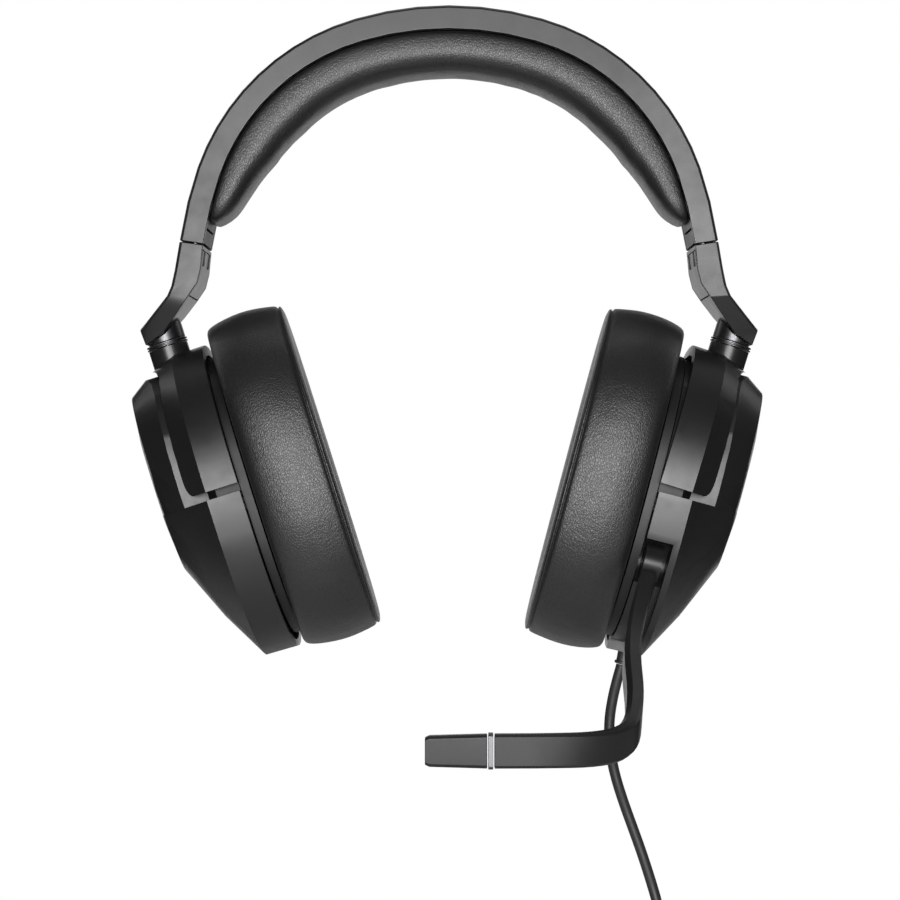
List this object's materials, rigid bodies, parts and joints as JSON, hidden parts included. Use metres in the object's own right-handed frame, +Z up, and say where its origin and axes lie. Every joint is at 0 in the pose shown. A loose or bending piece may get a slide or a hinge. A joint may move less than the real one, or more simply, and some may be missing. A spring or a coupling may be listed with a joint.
{
  "type": "gaming headset",
  "caption": "Wired over-ear gaming headset with a padded headband, sliding arms, swivelling and tilting ear cups, and a flip-up microphone boom.",
  "frame": {"origin": "middle of the headband pad's underside, where the headset rests on the top of the head", "axes": "+Z up, -Y towards the wearer's front, +X towards the wearer's left, the side of the microphone boom and the cord"},
  "size_m": [0.1917, 0.142, 0.3691],
  "materials": {
    "band_plastic": "satin charcoal moulding",
    "cup_plastic": "satin charcoal moulding",
    "inner_plastic": "matte black moulding",
    "boom_plastic": "satin black moulding",
    "wheel_plastic": "matte black, ribbed",
    "leatherette": "soft black leatherette with a fine grain",
    "speaker_cloth": "thin black mesh cloth",
    "spring_steel": "brushed",
    "bright_trim": "satin",
    "dark_metal": "dark satin",
    "cord_rubber": "matte black jacket",
    "circuit_board": "green solder mask",
    "cone_film": "thin polymer film",
    "gold_plate": "gold plated"
  },
  "bodies": {
    "headband": {"headband_top_cover": "band_plastic", "headband_inner_liner": "inner_plastic", "headband_pad": "leatherette", "bridge_wire": "cord_rubber", "left_end_collar": "inner_plastic", "right_end_collar": "inner_plastic", "left_detent_spring": "spring_steel", "right_detent_spring": "spring_steel"},
    "left_arm": {"left_slider_strip": "spring_steel", "left_arm_cover": "band_plastic", "left_arm_inner_cover": "inner_plastic", "left_pivot_barrel": "dark_metal", "left_trim_ring": "bright_trim"},
    "left_yoke": {"left_fork": "cup_plastic", "left_swivel_pin": "spring_steel", "left_front_pivot_pin": "spring_steel", "left_rear_pivot_pin": "spring_steel"},
    "left_cup": {"left_cup_shell": "cup_plastic", "left_baffle": "inner_plastic", "left_baffle_screw_1": "spring_steel", "left_baffle_screw_2": "spring_steel", "left_driver_frame": "dark_metal", "left_driver_magnet": "dark_metal", "left_diaphragm": "cone_film", "left_scrim": "speaker_cloth", "left_ear_cushion": "leatherette", "volume_pot": "dark_metal", "circuit_board": "circuit_board", "strain_relief": "cord_rubber", "cord_lead": "cord_rubber", "cord_coil": "cord_rubber", "cord_tail": "cord_rubber", "coil_tie": "speaker_cloth", "plug_body": "cord_rubber", "plug_pin": "gold_plate"},
    "right_arm": {"right_slider_strip": "spring_steel", "right_arm_cover": "band_plastic", "right_arm_inner_cover": "inner_plastic", "right_pivot_barrel": "dark_metal", "right_trim_ring": "bright_trim"},
    "right_yoke": {"right_fork": "cup_plastic", "right_swivel_pin": "spring_steel", "right_front_pivot_pin": "spring_steel", "right_rear_pivot_pin": "spring_steel"},
    "right_cup": {"right_cup_shell": "cup_plastic", "right_baffle": "inner_plastic", "right_baffle_screw_1": "spring_steel", "right_baffle_screw_2": "spring_steel", "right_driver_frame": "dark_metal", "right_driver_magnet": "dark_metal", "right_diaphragm": "cone_film", "right_scrim": "speaker_cloth", "right_ear_cushion": "leatherette"},
    "mic_boom": {"mic_hub": "boom_plastic", "boom_arm": "boom_plastic", "boom_ring": "bright_trim", "mic_housing": "boom_plastic", "mic_capsule": "dark_metal"},
    "volume_wheel": {"volume_wheel": "wheel_plastic"}
  },
  "joints": [
    {"name": "left_arm_slide", "type": "slide", "parent": "headband", "child": "left_arm", "axis": [0.1959, 0, -0.9806], "range_m": [0, 0.019]},
    {"name": "left_cup_swivel", "type": "hinge", "parent": "left_arm", "child": "left_yoke", "pos_m": [0.0858, 0, -0.08236], "axis": [0.3007, 0, 0.9537], "range_deg": [-10, 90]},
    {"name": "left_cup_tilt", "type": "hinge", "parent": "left_yoke", "child": "left_cup", "pos_m": [0.06749, 0, -0.12079], "axis": [0, -1, 0], "range_deg": [-5.7, 2.3]},
    {"name": "right_arm_slide", "type": "slide", "parent": "headband", "child": "right_arm", "axis": [-0.1959, 0, -0.9806], "range_m": [0, 0.019]},
    {"name": "right_cup_swivel", "type": "hinge", "parent": "right_arm", "child": "right_yoke", "pos_m": [-0.0858, 0, -0.08236], "axis": [0.3007, 0, -0.9537], "range_deg": [-10, 90]},
    {"name": "right_cup_tilt", "type": "hinge", "parent": "right_yoke", "child": "right_cup", "pos_m": [-0.06749, 0, -0.12079], "axis": [0, 1, 0], "range_deg": [-3, 5]},
    {"name": "mic_boom_flip", "type": "hinge", "parent": "left_cup", "child": "mic_boom", "pos_m": [0.05873, -0.0375, -0.14691], "axis": [-0.9668, 0, 0.2554], "range_deg": [0, 85]},
    {"name": "volume_wheel_turn", "type": "hinge", "parent": "left_cup", "child": "volume_wheel", "pos_m": [0.06134, 0.03444, -0.14605], "axis": [0.9668, 0, -0.2554], "range_deg": [-140, 140]}
  ]
}
